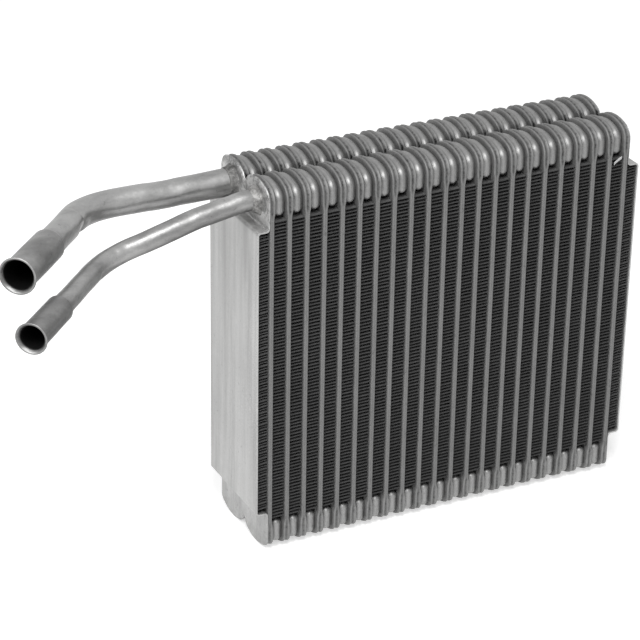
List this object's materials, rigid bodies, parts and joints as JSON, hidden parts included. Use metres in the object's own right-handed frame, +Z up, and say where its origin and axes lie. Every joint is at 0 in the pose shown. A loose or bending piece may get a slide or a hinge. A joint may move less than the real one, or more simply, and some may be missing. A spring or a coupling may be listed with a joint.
{
  "type": "evaporator core",
  "caption": "Laminated plate and fin evaporator core with stamped end plates, drawn cup tanks above and below, and bent pipes that end in lipped sockets.",
  "frame": {"origin": "Middle of the outer face of the pipe end plate's panel, halfway up and halfway through the depth.", "axes": "+X runs through the stack of tubes away from the pipes, +Y from the face seen in the picture to the face behind it, +Z up."},
  "size_m": [0.4032, 0.1266, 0.229],
  "materials": {
    "tube": "dull brazed plate, grey bloom of flux, lighter on the crests of the cups",
    "fin": "thin dull strip, dark between the folds",
    "plate": "smooth matt sheet with faint drawing marks",
    "pipe": "satin drawn pipe with fine scuffs and small dents",
    "braze": "rough uneven brazing alloy"
  },
  "bodies": {
    "root": {"pipe_end_plate": "plate", "blind_end_plate": "plate", "suction_pipe": "pipe", "liquid_pipe": "pipe", "suction_braze": "braze", "liquid_braze": "braze", "tube_01": "tube", "tube_02": "tube", "tube_03": "tube", "tube_04": "tube", "tube_05": "tube", "tube_06": "tube", "tube_07": "tube", "tube_08": "tube", "tube_09": "tube", "tube_10": "tube", "tube_11": "tube", "tube_12": "tube", "tube_13": "tube", "tube_14": "tube", "tube_15": "tube", "tube_16": "tube", "tube_17": "tube", "tube_18": "tube", "tube_19": "tube", "tube_20": "tube", "tube_21": "tube", "tube_22": "tube", "fin_01": "fin", "fin_02": "fin", "fin_03": "fin", "fin_04": "fin", "fin_05": "fin", "fin_06": "fin", "fin_07": "fin", "fin_08": "fin", "fin_09": "fin", "fin_10": "fin", "fin_11": "fin", "fin_12": "fin", "fin_13": "fin", "fin_14": "fin", "fin_15": "fin", "fin_16": "fin", "fin_17": "fin", "fin_18": "fin", "fin_19": "fin", "fin_20": "fin", "fin_21": "fin", "fin_22": "fin", "fin_23": "fin"}
  },
  "joints": []
}
